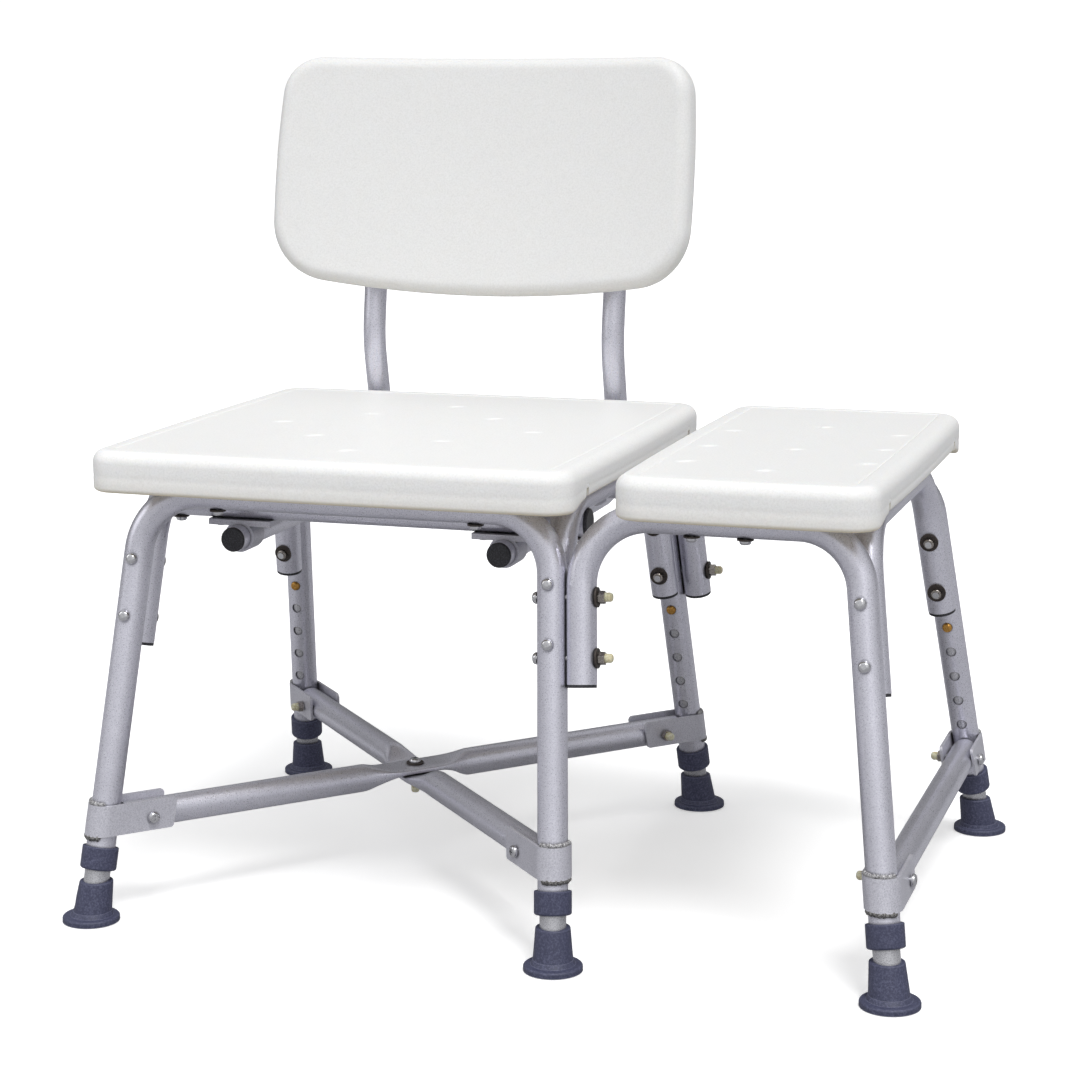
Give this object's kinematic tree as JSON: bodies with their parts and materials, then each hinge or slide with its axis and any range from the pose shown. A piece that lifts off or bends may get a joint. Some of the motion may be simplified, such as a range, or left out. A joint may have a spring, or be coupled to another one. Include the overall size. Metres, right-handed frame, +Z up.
{
  "type": "bath transfer bench",
  "caption": "Bath transfer bench with two moulded seat panels, a curved backrest, an aluminium tube frame and six telescoping legs on flanged rubber tips.",
  "frame": {"origin": "centre of the footprint on the floor, under the middle of the bounding box", "axes": "+X along the two seats towards the transfer seat, +Y from the front edge to the backrest, +Z up"},
  "size_m": [0.7516, 0.5436, 0.7371],
  "materials": {
    "panel": "off-white blow-moulded polyethylene with a fine grain",
    "tube": "silver-grey matte anodised aluminium with a fine sparkle",
    "bracket": "silver-grey painted strap with rough weld",
    "rubber": "dark blue-grey moulded rubber",
    "plug": "near-black moulded plug",
    "brass": "polished brass button",
    "steel": "bright plated fastener",
    "spring": "spring steel strip",
    "nylon": "cream translucent nylon",
    "washer": "dark brown-black washer"
  },
  "bodies": {
    "frame": {"seat_panel": "panel", "transfer_seat_panel": "panel", "front_frame_tube": "tube", "rear_frame_tube": "tube", "left_side_tube": "tube", "middle_side_tube": "tube", "transfer_side_tube": "tube", "transfer_front_tube": "tube", "transfer_rear_tube": "tube", "front_cross_tube": "tube", "rear_cross_tube": "tube", "upper_brace_tube": "tube", "lower_brace_tube": "tube", "transfer_stretcher_tube": "tube", "leg_bracket_front_left": "bracket", "leg_bracket_front_middle": "bracket", "leg_bracket_front_right": "bracket", "leg_bracket_rear_left": "bracket", "leg_bracket_rear_middle": "bracket", "leg_bracket_rear_right": "bracket", "backrest_brackets": "bracket", "bracket_screws": "steel", "leg_collars": "rubber", "tube_plugs": "plug", "frame_bolts": "steel", "nuts": "steel", "brace_bolts": "steel", "seat_bolts": "steel", "nut_caps": "nylon", "washers": "washer"},
    "backrest": {"backrest_panel": "panel", "backrest_tube_left": "tube", "backrest_tube_right": "tube", "backrest_tube_plugs": "plug", "backrest_screws": "steel"},
    "leg_front_left": {"leg_extension_front_left": "tube", "rubber_tip_front_left": "rubber", "button_spring_front_left": "spring"},
    "button_front_left": {"snap_button_front_left": "brass"},
    "leg_front_middle": {"leg_extension_front_middle": "tube", "rubber_tip_front_middle": "rubber", "button_spring_front_middle": "spring"},
    "button_front_middle": {"snap_button_front_middle": "brass"},
    "leg_front_right": {"leg_extension_front_right": "tube", "rubber_tip_front_right": "rubber", "button_spring_front_right": "spring"},
    "button_front_right": {"snap_button_front_right": "brass"},
    "leg_rear_left": {"leg_extension_rear_left": "tube", "rubber_tip_rear_left": "rubber", "button_spring_rear_left": "spring"},
    "button_rear_left": {"snap_button_rear_left": "brass"},
    "leg_rear_middle": {"leg_extension_rear_middle": "tube", "rubber_tip_rear_middle": "rubber", "button_spring_rear_middle": "spring"},
    "button_rear_middle": {"snap_button_rear_middle": "brass"},
    "leg_rear_right": {"leg_extension_rear_right": "tube", "rubber_tip_rear_right": "rubber", "button_spring_rear_right": "spring"},
    "button_rear_right": {"snap_button_rear_right": "brass"}
  },
  "joints": [
    {"name": "backrest_slide", "type": "slide", "parent": "frame", "child": "backrest", "axis": [0, 1, 0], "range_m": [0, 0.17]},
    {"name": "height_front_left", "type": "slide", "parent": "frame", "child": "leg_front_left", "axis": [-0.0681, -0.2181, -0.9735], "range_m": [0, 0.1016], "deforming": ["snap_button_front_left", "button_spring_front_left"]},
    {"name": "button_press_front_left", "type": "slide", "parent": "leg_front_left", "child": "button_front_left", "axis": [0.0152, -0.9759, 0.2175], "range_m": [0, 0.0048], "deforming": ["button_spring_front_left"]},
    {"name": "height_front_middle", "type": "slide", "parent": "frame", "child": "leg_front_middle", "axis": [0.0681, -0.2181, -0.9735], "range_m": [0, 0.1016], "deforming": ["snap_button_front_middle", "button_spring_front_middle"]},
    {"name": "button_press_front_middle", "type": "slide", "parent": "leg_front_middle", "child": "button_front_middle", "axis": [-0.0152, -0.9759, 0.2175], "range_m": [0, 0.0048], "deforming": ["button_spring_front_middle"]},
    {"name": "height_front_right", "type": "slide", "parent": "frame", "child": "leg_front_right", "axis": [0.1268, -0.2168, -0.9679], "range_m": [0, 0.1016], "deforming": ["snap_button_front_right", "button_spring_front_right"]},
    {"name": "button_press_front_right", "type": "slide", "parent": "leg_front_right", "child": "button_front_right", "axis": [-0.0282, -0.9762, 0.215], "range_m": [0, 0.0048], "deforming": ["button_spring_front_right"]},
    {"name": "height_rear_left", "type": "slide", "parent": "frame", "child": "leg_rear_left", "axis": [-0.0681, 0.2181, -0.9735], "range_m": [0, 0.1016], "deforming": ["snap_button_rear_left", "button_spring_rear_left"]},
    {"name": "button_press_rear_left", "type": "slide", "parent": "leg_rear_left", "child": "button_rear_left", "axis": [0.0152, 0.9759, 0.2175], "range_m": [0, 0.0048], "deforming": ["button_spring_rear_left"]},
    {"name": "height_rear_middle", "type": "slide", "parent": "frame", "child": "leg_rear_middle", "axis": [0.0681, 0.2181, -0.9735], "range_m": [0, 0.1016], "deforming": ["snap_button_rear_middle", "button_spring_rear_middle"]},
    {"name": "button_press_rear_middle", "type": "slide", "parent": "leg_rear_middle", "child": "button_rear_middle", "axis": [-0.0152, 0.9759, 0.2175], "range_m": [0, 0.0048], "deforming": ["button_spring_rear_middle"]},
    {"name": "height_rear_right", "type": "slide", "parent": "frame", "child": "leg_rear_right", "axis": [0.1268, 0.2168, -0.9679], "range_m": [0, 0.1016], "deforming": ["snap_button_rear_right", "button_spring_rear_right"]},
    {"name": "button_press_rear_right", "type": "slide", "parent": "leg_rear_right", "child": "button_rear_right", "axis": [-0.0282, 0.9762, 0.215], "range_m": [0, 0.0048], "deforming": ["button_spring_rear_right"]}
  ]
}
